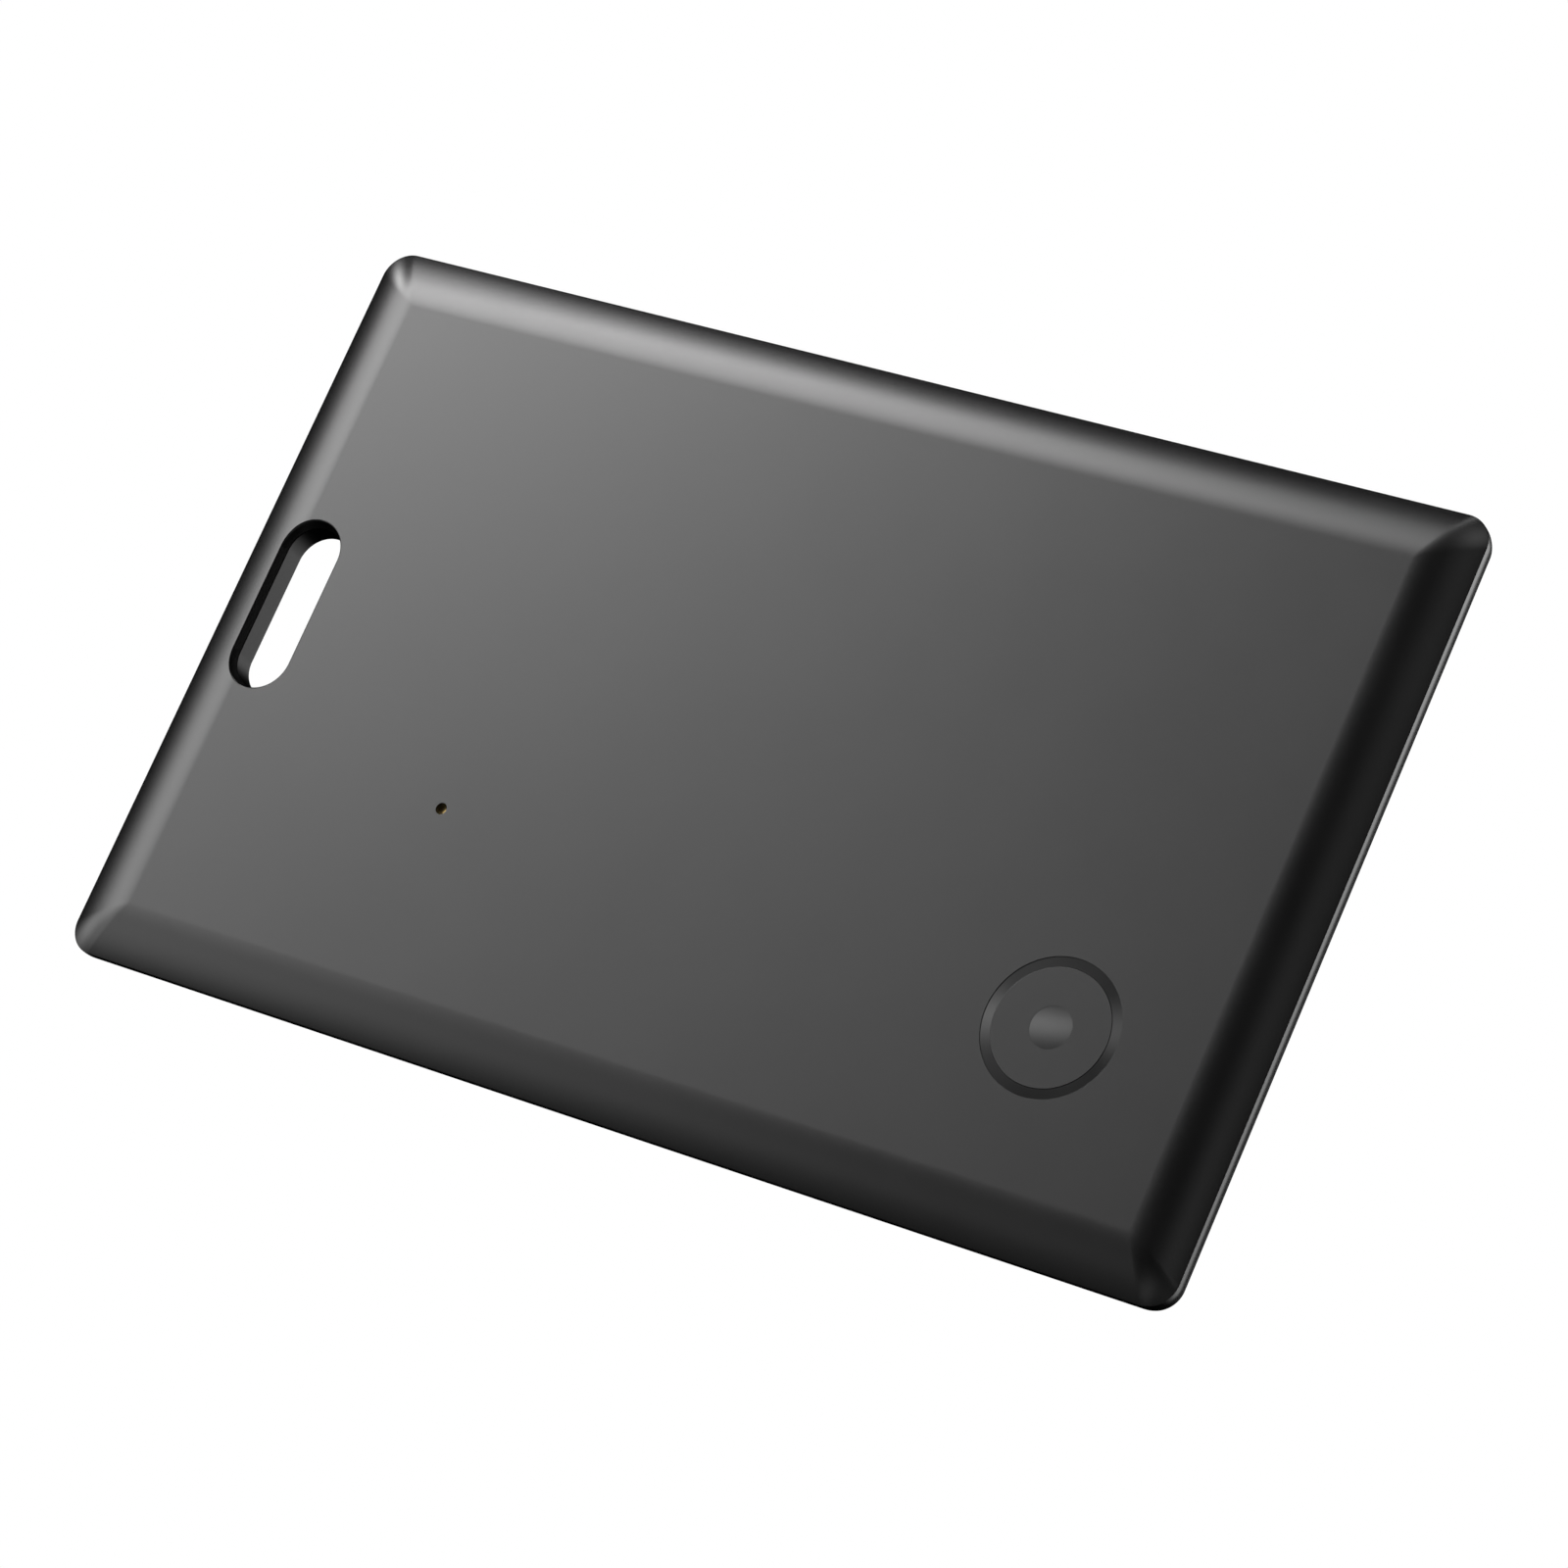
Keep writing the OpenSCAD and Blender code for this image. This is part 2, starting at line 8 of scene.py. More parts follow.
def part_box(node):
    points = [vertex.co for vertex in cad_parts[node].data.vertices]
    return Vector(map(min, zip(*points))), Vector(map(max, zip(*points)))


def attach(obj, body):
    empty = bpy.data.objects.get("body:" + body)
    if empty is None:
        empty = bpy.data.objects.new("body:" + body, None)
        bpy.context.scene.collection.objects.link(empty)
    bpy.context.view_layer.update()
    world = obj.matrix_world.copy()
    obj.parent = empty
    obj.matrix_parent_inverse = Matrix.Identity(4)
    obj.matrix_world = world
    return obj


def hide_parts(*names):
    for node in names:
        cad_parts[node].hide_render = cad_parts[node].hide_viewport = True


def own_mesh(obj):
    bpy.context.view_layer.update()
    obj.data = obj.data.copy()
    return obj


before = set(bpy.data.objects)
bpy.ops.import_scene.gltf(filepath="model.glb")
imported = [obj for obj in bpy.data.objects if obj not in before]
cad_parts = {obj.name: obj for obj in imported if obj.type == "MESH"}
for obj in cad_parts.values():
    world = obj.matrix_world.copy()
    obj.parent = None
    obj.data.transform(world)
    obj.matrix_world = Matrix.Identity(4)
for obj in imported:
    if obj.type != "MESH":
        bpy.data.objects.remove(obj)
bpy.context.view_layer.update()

MM = 0.001

# ---------------------------------------------------------------- sizes in millimetres
FRONT_LOW, FRONT_HIGH = (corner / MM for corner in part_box("front_cover"))
BACK_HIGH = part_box("back_cover")[1] / MM
CAP_LOW, CAP_HIGH = (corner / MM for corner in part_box("button_cap"))
SEAL_LOW, SEAL_HIGH = (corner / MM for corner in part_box("button_seal"))
TAPE_LOW, TAPE_HIGH = (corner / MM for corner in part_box("dome_tape"))
DOME_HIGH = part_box("metal_dome")[1] / MM
PLATE_LOW, PLATE_HIGH = (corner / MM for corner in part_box("piezo_plate"))

# outer form: a flat front, a bevel that falls on one circular curve, and a side wall that tucks in
# towards the back
CARD_L = FRONT_HIGH.x - FRONT_LOW.x
CARD_W = FRONT_HIGH.y - FRONT_LOW.y
CARD_T = FRONT_HIGH.z
CORNER_R = 2.0
BEVEL_W = 4.05
BEVEL_DROP = 1.0
CROWN_R = (BEVEL_W ** 2 + BEVEL_DROP ** 2) / (2 * BEVEL_DROP)
CROWN_SLOPE = math.asin(BEVEL_W / CROWN_R)
ARRIS_Z = CARD_T - BEVEL_DROP
TUCK_H = 1.15
TUCK_R = 3.2
FLAT = (CARD_L / 2 - BEVEL_W, CARD_W / 2 - BEVEL_W)

# small rounds: on the covers' edges, round the button and the port, and on the slot's mouth
EDGE_R = 0.07
CAP_EDGE_R = 0.015
SLOT_EDGE_R = 0.16

# covers
WALL_T = 1.0
ROOF_T = 0.5
ROOF_Z = CARD_T - ROOF_T
FLOOR_Z = 0.45
WALL_FOOT_Z = FRONT_LOW.z
LIP_H = 0.6
LIP_T = 0.6
LIP_GAP = 0.05
LIP_TOP_Z = FLOOR_Z + LIP_H
LIP_INSET = WALL_T + LIP_GAP
COLLAR_TOP_Z = BACK_HIGH.z
BOSS_TOP_Z = 2.1
POSTS = ((20, -1.2), (36.4, -3.2), (-4.2, -19.6), (36.4, -19.6))
POST_R = 0.8
BOARD_Z = 0.9

# lanyard slot and sound port
SLOT_X = -37.74
SLOT_HALF = 3.92
SLOT_MOUTH_R = 2.41
SLOT_NECK_R = 2.2
SLOT_BACK_R = 2.18
SLOT_NECK_Z = 1.74
SLOT_BOSS_R = 3.1
COLLAR_R = 2.75
COLLAR_SLOPE = (SLOT_NECK_R - SLOT_BACK_R) / SLOT_NECK_Z
MOUTH_SLOPE = (SLOT_MOUTH_R - SLOT_NECK_R) / (CARD_T - SLOT_NECK_Z)
PORT = (-19.15, -10.5)
PORT_R = 0.4
SOUNDER = ((PLATE_LOW.x + PLATE_HIGH.x) / 2, (PLATE_LOW.y + PLATE_HIGH.y) / 2)
PLATE_R = (PLATE_HIGH.x - PLATE_LOW.x) / 2
POCKET_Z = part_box("piezo_ring")[1].z / MM
POCKET_GAP = 0.2

# button
BUTTON = ((CAP_LOW.x + CAP_HIGH.x) / 2, (CAP_LOW.y + CAP_HIGH.y) / 2)
BUTTON_BOSS_R = 5.8
CAP_R = (CAP_HIGH.x - CAP_LOW.x) / 2
CAP_T = 0.3
CAP_Z = CARD_T - CAP_T
CAP_GAP = 0.02
STEM_R = 2.2
STEM_TIP_Z = CAP_LOW.z
STEM_GAP = 0.2
RECESS_R = (SEAL_HIGH.x - SEAL_LOW.x) / 2
LEDGE_Z = SEAL_LOW.z
LEDGE_T = 0.25
GROOVE_Z = SEAL_HIGH.z
GROOVE_FALL = 0.017
SPOT_R = 1.44
SPOT_DEPTH = 0.02
SPOT_CROWN = 0.01

# snap dome and its tape
PAD_Z = TAPE_LOW.z
DOME_R = 2.5
DOME_H = DOME_HIGH.z - PAD_Z
DOME_T = 0.08
DOME_TAPE_T = TAPE_HIGH.z - DOME_HIGH.z
DOME_TAPE_R = (TAPE_HIGH.x - TAPE_LOW.x) / 2

# share of their height that the soft pieces keep when the button is down
SEAL_KEEP = 0.5
DOME_KEEP = 0.41

# how finely curves are drawn
CROWN_STEPS = 28
CAVITY_STEPS = 8
CORNER_STEPS = 20
SIDE_STEPS = 12
ROUND_STEPS = 4
WALL_STEP = 0.1
CIRCLE_STEPS = 128
POST_STEPS = 32
PORT_STEPS = 48
SPOT_STEPS = 16
DOME_STEPS = 20

# how far cutters run past the faces that they cut
OVER = 1.0

# how many tries find where a hole comes out of the bevel, and how many degrees of the round on its mouth
# its cutter leaves out at the top
MOUTH_TRIES = 3
MOUTH_START = 10

# points closer than the first are merged, and points closer than the second lie on the skin or on the axis
MERGE = 2e-4
SKIN_GAP = 2e-3

# how far a face must lie above the arris to count as front, how far above it the side wall may still
# reach, and how far above the seam a face must lie to count as the front cover's wall
CROWN_CLEAR = 0.01
WALL_CLEAR = 0.02
SEAM_CLEAR = 0.05

# faces larger than this, in square millimetres, are shaded flat where no exact normals are given, and edges
# that turn by more than this, in degrees, stay sharp
FLAT_AREA = 1.0
SHARP_ANGLE = 32

# worn edges: how far in they reach, the bend of the surface (one less the cosine) at which wear starts and
# at which it is full, its least share between patches, and how far the most worn ones go towards white
WEAR_R = 0.12
WEAR_START = 0.01
WEAR_FULL = 0.12
WEAR_LEAST = 0.3
WEAR_LIGHT = 0.12
WEAR_SAMPLES = 4

# the fine grain's share of a colour's change, and how much the patches change the roughness beside it
GRAIN_SHARE = 0.45
PATCH_SHARE = 0.3

# blacks of the housing and of its polished parts, each from its darker to its lighter shade
BLACK = ((0.0012, 0.0012, 0.0012), (0.0022, 0.0022, 0.0022))
POLISHED_BLACK = ((0.003, 0.003, 0.003), (0.005, 0.005, 0.005))

# where the photograph was taken from, in millimetres and degrees, and the lens
CAMERA_PLACE = (183.73, -84.88, 306.04)
CAMERA_AZIMUTH = 65.327
CAMERA_ELEVATION = 56.918
CAMERA_ROLL = -44.979
CAMERA_LENS = 129.757

# soft lamps, all far away: azimuth, elevation, width, height and roll in degrees, and strength. The width
# and the height are those at which a lamp has faded to six tenths, measured from its middle
SOFT_LIGHTS = (
    # bright panels behind the card's long top edge and its slot end
    (231.4, 39.7, 7.9, 2.8, 14, 17.8),
    (242.6, 27.2, 3.0, 8.3, -13, 14.9),
    (236.9, 48.1, 7.5, 2.8, 0, 13.1),
    (220.6, 32.1, 0.9, 7.6, -17, 22.2),
    # weaker panels that the lower bevel and the far corners see
    (275.6, 29.9, 11.1, 7.2, 3, 4.4),
    (260.1, 39.2, 4.1, 14.4, -44, 3.7),
    (295.7, 45.0, 8.9, 3.5, -32, 3.2),
    (166.7, 51.6, 12.9, 6.3, -27, 1.7),
    (194.7, 22.2, 0.9, 14.4, -27, 8.1),
    (339.6, 65.3, 2.4, 11.7, -20, 1.3),
    (112.2, 69.4, 9.1, 1.4, 44, 1.5),
    # thin tubes, which the polished spot and the groove pick out
    (263.4, 53.9, 3.6, 0.9, 32, 6.3),
    (245.7, 59.5, 0.9, 4.2, 31, 3.2),
    (250.2, 60.8, 0.9, 3.6, 24, 0.66),
    (241.6, 57.9, 0.9, 2.5, 35, 0.77),
    # a faint glow over the lower right corner
    (50, 68, 12, 6, 0, 0.35),
    # light thrown up from the table, and a dim fill from the camera's side
    (86, -53, 15, 5.5, 0, 4.9),
    (130, -53, 13, 5.5, 0, 4.7),
    (45, 12, 30, 14, 0, 0.5),
)
AMBIENT = 0.0005

# half the side of the floor, in millimetres
FLOOR_HALF = 3000


# ---------------------------------------------------------------- mesh tools
def new_object(name, mesh):
    body = bpy.data.objects.new(name, mesh)
    bpy.context.scene.collection.objects.link(body)
    return body


def tidy(mesh):
    """Merges points that coincide, and turns every face outwards."""
    bm = bmesh.new()
    bm.from_mesh(mesh)
    bmesh.ops.remove_doubles(bm, verts=bm.verts, dist=MERGE * MM)
    bmesh.ops.dissolve_degenerate(bm, edges=bm.edges, dist=MERGE * MM)
    bmesh.ops.recalc_face_normals(bm, faces=bm.faces)
    bm.to_mesh(mesh)
    bm.free()


def loft(name, rings):
    """A closed body through rings of equally many points, with a flat face on each end."""
    count = len(rings[0])
    points = [tuple(c * MM for c in p) for ring in rings for p in ring]
    faces = []
    for i in range(len(rings) - 1):
        for j in range(count):
            k = (j + 1) % count
            faces.append((i * count + j, i * count + k, (i + 1) * count + k, (i + 1) * count + j))
    faces.append(tuple(range(count)))
    faces.append(tuple(range((len(rings) - 1) * count, len(rings) * count)))
    mesh = bpy.data.meshes.new(name)
    mesh.from_pydata(points, [], faces)
    tidy(mesh)
    return new_object(name, mesh)


def combine(body, others, operation):
    """Joins each of the others to the body, or cuts it away, and deletes it."""
    for other in others:
        modifier = body.modifiers.new("bool", "BOOLEAN")
        modifier.operation = operation
        modifier.solver = "EXACT"
        modifier.object = other
        depsgraph = bpy.context.evaluated_depsgraph_get()
        result = bpy.data.meshes.new_from_object(body.evaluated_get(depsgraph))
        body.modifiers.clear()
        body.data = result
        bpy.data.objects.remove(other)
        tidy(body.data)


def set_normals(mesh, normal_at):
    """Smooth shading with sharp edges kept, and exact normals wherever normal_at gives them.
    normal_at(points) returns one normal for each of a face's points, in millimetres, or None."""
    mesh.shade_smooth()
    mesh.set_sharp_from_angle(angle=math.radians(SHARP_ANGLE))
    normals = [Vector(n.vector) for n in mesh.corner_normals]
    for face in mesh.polygons:
        exact = normal_at([mesh.vertices[i].co / MM for i in face.vertices])
        if not exact and face.area > FLAT_AREA * MM ** 2:
            exact = [face.normal] * len(face.vertices)
        if exact:
            for corner, normal in zip(face.loop_indices, exact):
                normals[corner] = normal
    mesh.normals_split_custom_set(normals)


def line(start, end):
    """A straight run of a section: two points, each with the normal on the right of the way."""
    run = Vector((end[0] - start[0], end[1] - start[1])).normalized()
    normal = (run.y, -run.x)
    return [(start, normal), (end, normal)]


def arc(centre, radius, start, end, steps, hollow=False):
    """A curved run of a section, between two angles in degrees. A hollow one's normals face its centre."""
    made = []
    for i in range(steps + 1):
        a = math.radians(start + (end - start) * i / steps)
        out = (math.cos(a), math.sin(a))
        place = (centre[0] + radius * out[0], centre[1] + radius * out[1])
        made.append((place, (-out[0], -out[1]) if hollow else out))
    return made


def lathe(name, centre, runs, finishes=None):
    """A body turned round an upright axis from runs of ((radius, height), normal), joined end to end.
    A point on the axis is made only once. finishes gives each run's place in the material list."""
    spots = [point for run in runs for point, _ in run[:-1]]
    if math.dist(runs[-1][-1][0], runs[0][0][0]) > SKIN_GAP:
        spots.append(runs[-1][-1][0])
    turns = [2 * math.pi * i / CIRCLE_STEPS for i in range(CIRCLE_STEPS)]
    points, index = [], {}
    for j, (r, z) in enumerate(spots):
        for i, a in enumerate(turns):
            if r > SKIN_GAP or i == 0:
                x, y = centre[0] + r * math.cos(a), centre[1] + r * math.sin(a)
                points.append((x * MM, y * MM, z * MM))
            index[i, j] = len(points) - 1
    faces, normals, slots = [], [], []
    first = 0
    for number, run in enumerate(runs):
        for step in range(len(run) - 1):
            j, k = first + step, (first + step + 1) % len(spots)
            for i in range(CIRCLE_STEPS):
                m = (i + 1) % CIRCLE_STEPS
                corners = [(i, j, step), (m, j, step), (m, k, step + 1), (i, k, step + 1)]
                if spots[j][0] <= SKIN_GAP:
                    del corners[1]
                elif spots[k][0] <= SKIN_GAP:
                    del corners[3]
                faces.append([index[a, b] for a, b, _ in corners])
                for a, _, c in corners:
                    across, up = run[c][1]
                    normals.append((across * math.cos(turns[a]), across * math.sin(turns[a]), up))
                slots.append(finishes[number] if finishes else 0)
        first += len(run) - 1
    mesh = bpy.data.meshes.new(name)
    mesh.from_pydata(points, [], faces)
    mesh.polygons.foreach_set("material_index", slots)
    mesh.shade_smooth()
    mesh.normals_split_custom_set(normals)
    return new_object(name, mesh)


# ---------------------------------------------------------------- outer form
def outline():
    """Points round the card's outline, each with its outward normal and the point on the edge of the flat
    front that the bevel rises to from there."""
    half = (CARD_L / 2, CARD_W / 2)
    made = []
    for start, sx, sy in ((0, 1, 1), (90, -1, 1), (180, -1, -1), (270, 1, -1)):
        hub = (sx * (half[0] - CORNER_R), sy * (half[1] - CORNER_R))
        flat = (sx * FLAT[0], sy * FLAT[1])
        for i in range(CORNER_STEPS + 1):
            a = math.radians(start + 90 * i / CORNER_STEPS)
            n = (math.cos(a), math.sin(a))
            made.append(((hub[0] + CORNER_R * n[0], hub[1] + CORNER_R * n[1]), n, flat))
        place, n, flat = made[-1]
        for i in range(1, SIDE_STEPS):
            share = 1 - 2 * i / SIDE_STEPS
            if start in (0, 180):
                made.append(((place[0] * share, place[1]), n, (flat[0] * share, flat[1])))
            else:
                made.append(((place[0], place[1] * share), n, (flat[0], flat[1] * share)))
    return made


OUTLINE = outline()


def crown_height(across, depth=0.0):
    """Height of the front this far across the bevel, or of the parallel surface at a depth below it."""
    return CARD_T - CROWN_R + math.sqrt((CROWN_R - depth) ** 2 - across ** 2)


def front_ring(share, inset=0.0, depth=0.0):
    """A level line of the front, or of the parallel surface inside it."""
    ring = []
    for p, n, q in OUTLINE:
        reach_x, reach_y = p[0] - n[0] * inset - q[0], p[1] - n[1] * inset - q[1]
        height = crown_height(share * (BEVEL_W - inset), depth)
        ring.append((q[0] + share * reach_x, q[1] + share * reach_y, height))
    return ring


def wall_ring(inset, height):
    """A level line that runs inside the outline by the inset."""
    return [(p[0] - n[0] * inset, p[1] - n[1] * inset, height) for p, n, _ in OUTLINE]


def tuck(height):
    """How far the side wall has curved in at a height."""
    return TUCK_R - math.sqrt(TUCK_R ** 2 - max(TUCK_H - height, 0) ** 2)


# The small round on the arris takes this much of the bevel and of the side wall
ARRIS_REACH = EDGE_R * math.tan((math.pi / 2 - CROWN_SLOPE) / 2)
ARRIS_HUB_Z = ARRIS_Z - ARRIS_REACH


def wall_rings(high, low, edge):
    """Rings down the tucked side wall, ending in a small round at its foot."""
    foot = low + edge
    steps = max(2, round((high - foot) / WALL_STEP))
    rings = []
    for i in range(steps + 1):
        z = high + (foot - high) * i / steps
        rings.append(wall_ring(tuck(z), z))
    for i in range(1, ROUND_STEPS + 1):
        a = math.pi / 2 * i / ROUND_STEPS
        rings.append(wall_ring(tuck(foot) + edge * (1 - math.cos(a)), foot - edge * math.sin(a)))
    return rings


def front_block():
    """The front cover's outer form, filled."""
    last = 1 - ARRIS_REACH * math.cos(CROWN_SLOPE) / BEVEL_W
    rings = [front_ring(last * i / CROWN_STEPS) for i in range(CROWN_STEPS + 1)]
    for i in range(1, ROUND_STEPS + 1):
        a = (math.pi / 2 - CROWN_SLOPE) * (1 - i / ROUND_STEPS)
        rings.append(wall_ring(EDGE_R * (1 - math.cos(a)), ARRIS_HUB_Z + EDGE_R * math.sin(a)))
    rings += wall_rings(TUCK_H, WALL_FOOT_Z, EDGE_R)
    return loft("front_cover_shell", rings)


def front_cavity():
    """The hollow under the front, which leaves its roof and its side wall."""
    rings = [front_ring(i / CAVITY_STEPS, WALL_T, ROOF_T) for i in range(CAVITY_STEPS + 1)]
    rings.append(wall_ring(WALL_T, -OVER))
    return loft("cavity", rings)


def crown_at(x, y):
    """Height and normal of the crowned front at a place in plan. Outside the outline it goes on level."""
    u, v = abs(x) - FLAT[0], abs(y) - FLAT[1]
    k = BEVEL_W - CORNER_R
    if u <= 0 and v <= 0:
        return crown_height(0.0), Vector((0, 0, 1))
    if v <= 0 or (u > 0 and v * BEVEL_W <= u * k):
        share, slope = u / BEVEL_W, Vector((1, 0))
    elif u <= 0 or u * BEVEL_W <= v * k:
        share, slope = v / BEVEL_W, Vector((0, 1))
    else:
        along, square = k * (u + v), u * u + v * v
        share = square / (along + math.sqrt(along ** 2 - square * (2 * k * k - CORNER_R ** 2)))
        out = Vector((u / share - k, v / share - k)).normalized()
        slope = out * (BEVEL_W / out.dot(Vector((u, v)) / share))
    across = min(share, 1) * BEVEL_W
    fall = across / math.sqrt(CROWN_R ** 2 - across ** 2)
    normal = Vector((math.copysign(slope.x, x) * fall, math.copysign(slope.y, y) * fall, 1))
    return crown_height(across), normal.normalized()


def past_corner(point):
    """How far a point lies, along each side, beyond the centre of the nearest corner's round."""
    hub = Vector((CARD_L / 2 - CORNER_R, CARD_W / 2 - CORNER_R))
    return Vector((abs(point.x) - hub.x, abs(point.y) - hub.y))


def wall_normal(point):
    """Exact normal of the outer side wall and of the round on the arris."""
    away = past_corner(point)
    if away.x <= 0:
        out = Vector((0, math.copysign(1, point.y)))
    elif away.y <= 0:
        out = Vector((math.copysign(1, point.x), 0))
    else:
        out = Vector((math.copysign(away.x, point.x), math.copysign(away.y, point.y))).normalized()
    rise = 0.0
    if point.z > ARRIS_HUB_Z:
        rise = math.asin(min((point.z - ARRIS_HUB_Z) / EDGE_R, 1))
    elif point.z < TUCK_H:
        rise = -math.asin((TUCK_H - point.z) / TUCK_R)
    return Vector((out.x * math.cos(rise), out.y * math.cos(rise), math.sin(rise)))


def wall_distance(point):
    """How far a point lies inside the card's outline."""
    away = past_corner(point)
    if away.x <= 0 or away.y <= 0:
        return CORNER_R - max(away.x, away.y)
    return CORNER_R - away.length


def skin_normals(points):
    """Exact normals for a face that lies wholly on the crowned front or on the outer side wall."""
    if all(p.z > ARRIS_Z + CROWN_CLEAR for p in points):
        found = [crown_at(p.x, p.y) for p in points]
        if all(abs(height - p.z) < SKIN_GAP for (height, _), p in zip(found, points)):
            return [normal for _, normal in found]
        return None
    above_seam = min(p.z for p in points) > FLOOR_Z + SEAM_CLEAR
    foot = WALL_FOOT_Z + EDGE_R if above_seam else 0
    for p in points:
        outside = wall_distance(p) < tuck(p.z) + EDGE_R
        if not (outside and foot - SKIN_GAP < p.z < ARRIS_Z + WALL_CLEAR):
            return None
    return [wall_normal(p) for p in points]


# ---------------------------------------------------------------- shapes cut into the covers or joined on
def slot_shape():
    """The slot's outline, as centres and the directions in which a radius is laid off from them."""
    half = CIRCLE_STEPS // 2
    made = []
    for side in (1, -1):
        for i in range(half + 1):
            a = math.pi * i / half
            made.append(((SLOT_X, side * SLOT_HALF), (side * math.cos(a), side * math.sin(a))))
    return made


def round_shape(centre, steps=CIRCLE_STEPS):
    """A circle, in the same form."""
    turns = [2 * math.pi * i / steps for i in range(steps)]
    return [(centre, (math.cos(a), math.sin(a))) for a in turns]


def shape_ring(shape, radius, height):
    """A level line of such a shape, at a radius."""
    return [(hub[0] + d[0] * radius, hub[1] + d[1] * radius, height) for hub, d in shape]


def pillar(name, shape, low, high, low_r, high_r=None):
    """An upright body between two heights, straight unless it has a second radius at the top."""
    high_r = low_r if high_r is None else high_r
    return loft(name, [shape_ring(shape, high_r, high), shape_ring(shape, low_r, low)])


def mouth_of(shape, radius, slope):
    """Where a hole's wall comes out of the crowned front: its radius and its height in each direction."""
    mouth = []
    for hub, d in shape:
        r = radius
        for _ in range(MOUTH_TRIES):
            height = crown_at(hub[0] + d[0] * r, hub[1] + d[1] * r)[0]
            r = radius - slope * (CARD_T - height)
        mouth.append((r, height))
    return mouth


def mouth_cutter(name, shape, radius, slope, low, edge):
    """The body of a hole whose mouth is rounded by edge where it comes out of the crowned front.
    The radius is the hole's at the flat front, and it shrinks by slope for each millimetre down."""
    lean = math.atan(slope)
    start = math.radians(MOUTH_START)
    hub_out = edge * math.tan((math.pi / 2 - lean) / 2)
    mouth = mouth_of(shape, radius, slope)

    def ring(out, lift):
        return [
            (hub[0] + d[0] * (r + out), hub[1] + d[1] * (r + out), height + lift)
            for (hub, d), (r, height) in zip(shape, mouth)
        ]

    rings = [ring(hub_out - edge * math.sin(start), OVER)]
    for i in range(ROUND_STEPS + 1):
        a = start + (math.pi / 2 - lean - start) * i / ROUND_STEPS
        rings.append(ring(hub_out - edge * math.sin(a), edge * (math.cos(a) - 1)))
    rings.append(shape_ring(shape, radius - slope * (CARD_T - low), low))
    return loft(name, rings)


def fixed_normals(points):
    """Exact normals on the flat back, and on the skin."""
    if all(abs(p.z) < SKIN_GAP for p in points):
        return [Vector((0, 0, -1))] * len(points)
    return skin_normals(points)


# ---------------------------------------------------------------- covers
def front_cover():
    """The upper shell, with bosses and posts under its roof, and the slot, port and recess cut through."""
    body = front_block()
    combine(body, [front_cavity()], "DIFFERENCE")
    bosses = [
        pillar("slot_boss", slot_shape(), SLOT_NECK_Z, BOSS_TOP_Z, SLOT_BOSS_R),
        pillar("button_boss", round_shape(BUTTON), LEDGE_Z - LEDGE_T, BOSS_TOP_Z, BUTTON_BOSS_R),
    ]
    bosses += [pillar("post", round_shape(p, POST_STEPS), BOARD_Z, BOSS_TOP_Z, POST_R) for p in POSTS]
    combine(body, bosses, "UNION")
    combine(body, [
        mouth_cutter(
            "slot_cut", slot_shape(), SLOT_MOUTH_R, MOUTH_SLOPE, SLOT_NECK_Z - OVER / 2, SLOT_EDGE_R,
        ),
        mouth_cutter("port_cut", round_shape(PORT, PORT_STEPS), PORT_R, 0, ROOF_Z - OVER, CAP_EDGE_R),
        mouth_cutter("recess_cut", round_shape(BUTTON), RECESS_R, 0, LEDGE_Z, CAP_EDGE_R),
        pillar("stem_cut", round_shape(BUTTON), 0, LEDGE_Z + LEDGE_T, STEM_R + STEM_GAP),
        pillar("sounder_pocket", round_shape(SOUNDER), BOARD_Z, POCKET_Z, PLATE_R + POCKET_GAP),
    ], "DIFFERENCE")
    set_normals(body.data, fixed_normals)
    return body


def back_cover():
    """The lower shell, a flat tray with a locating lip and the collar that lines the slot."""
    rings = []
    top = FLOOR_Z - EDGE_R
    root = FLOOR_Z / 2
    for i in range(ROUND_STEPS):
        a = math.pi / 2 * (1 - i / ROUND_STEPS)
        rings.append(wall_ring(tuck(top) + EDGE_R * (1 - math.cos(a)), top + EDGE_R * math.sin(a)))
    rings += wall_rings(top, 0, EDGE_R)
    body = loft("back_cover_shell", rings)
    lip = loft("lip", [wall_ring(LIP_INSET, LIP_TOP_Z), wall_ring(LIP_INSET, root)])
    inner = LIP_INSET + LIP_T
    lip_inside = loft("lip_inside", [wall_ring(inner, OVER + LIP_TOP_Z), wall_ring(inner, 0)])
    combine(lip, [lip_inside], "DIFFERENCE")
    collar = pillar("collar", slot_shape(), root, COLLAR_TOP_Z, COLLAR_R)
    combine(body, [lip, collar], "UNION")
    high = COLLAR_TOP_Z + OVER
    combine(body, [pillar(
        "back_slot_cut", slot_shape(), -OVER, high,
        SLOT_BACK_R - COLLAR_SLOPE * OVER, SLOT_BACK_R + COLLAR_SLOPE * high,
    )], "DIFFERENCE")
    set_normals(body.data, fixed_normals)
    return body


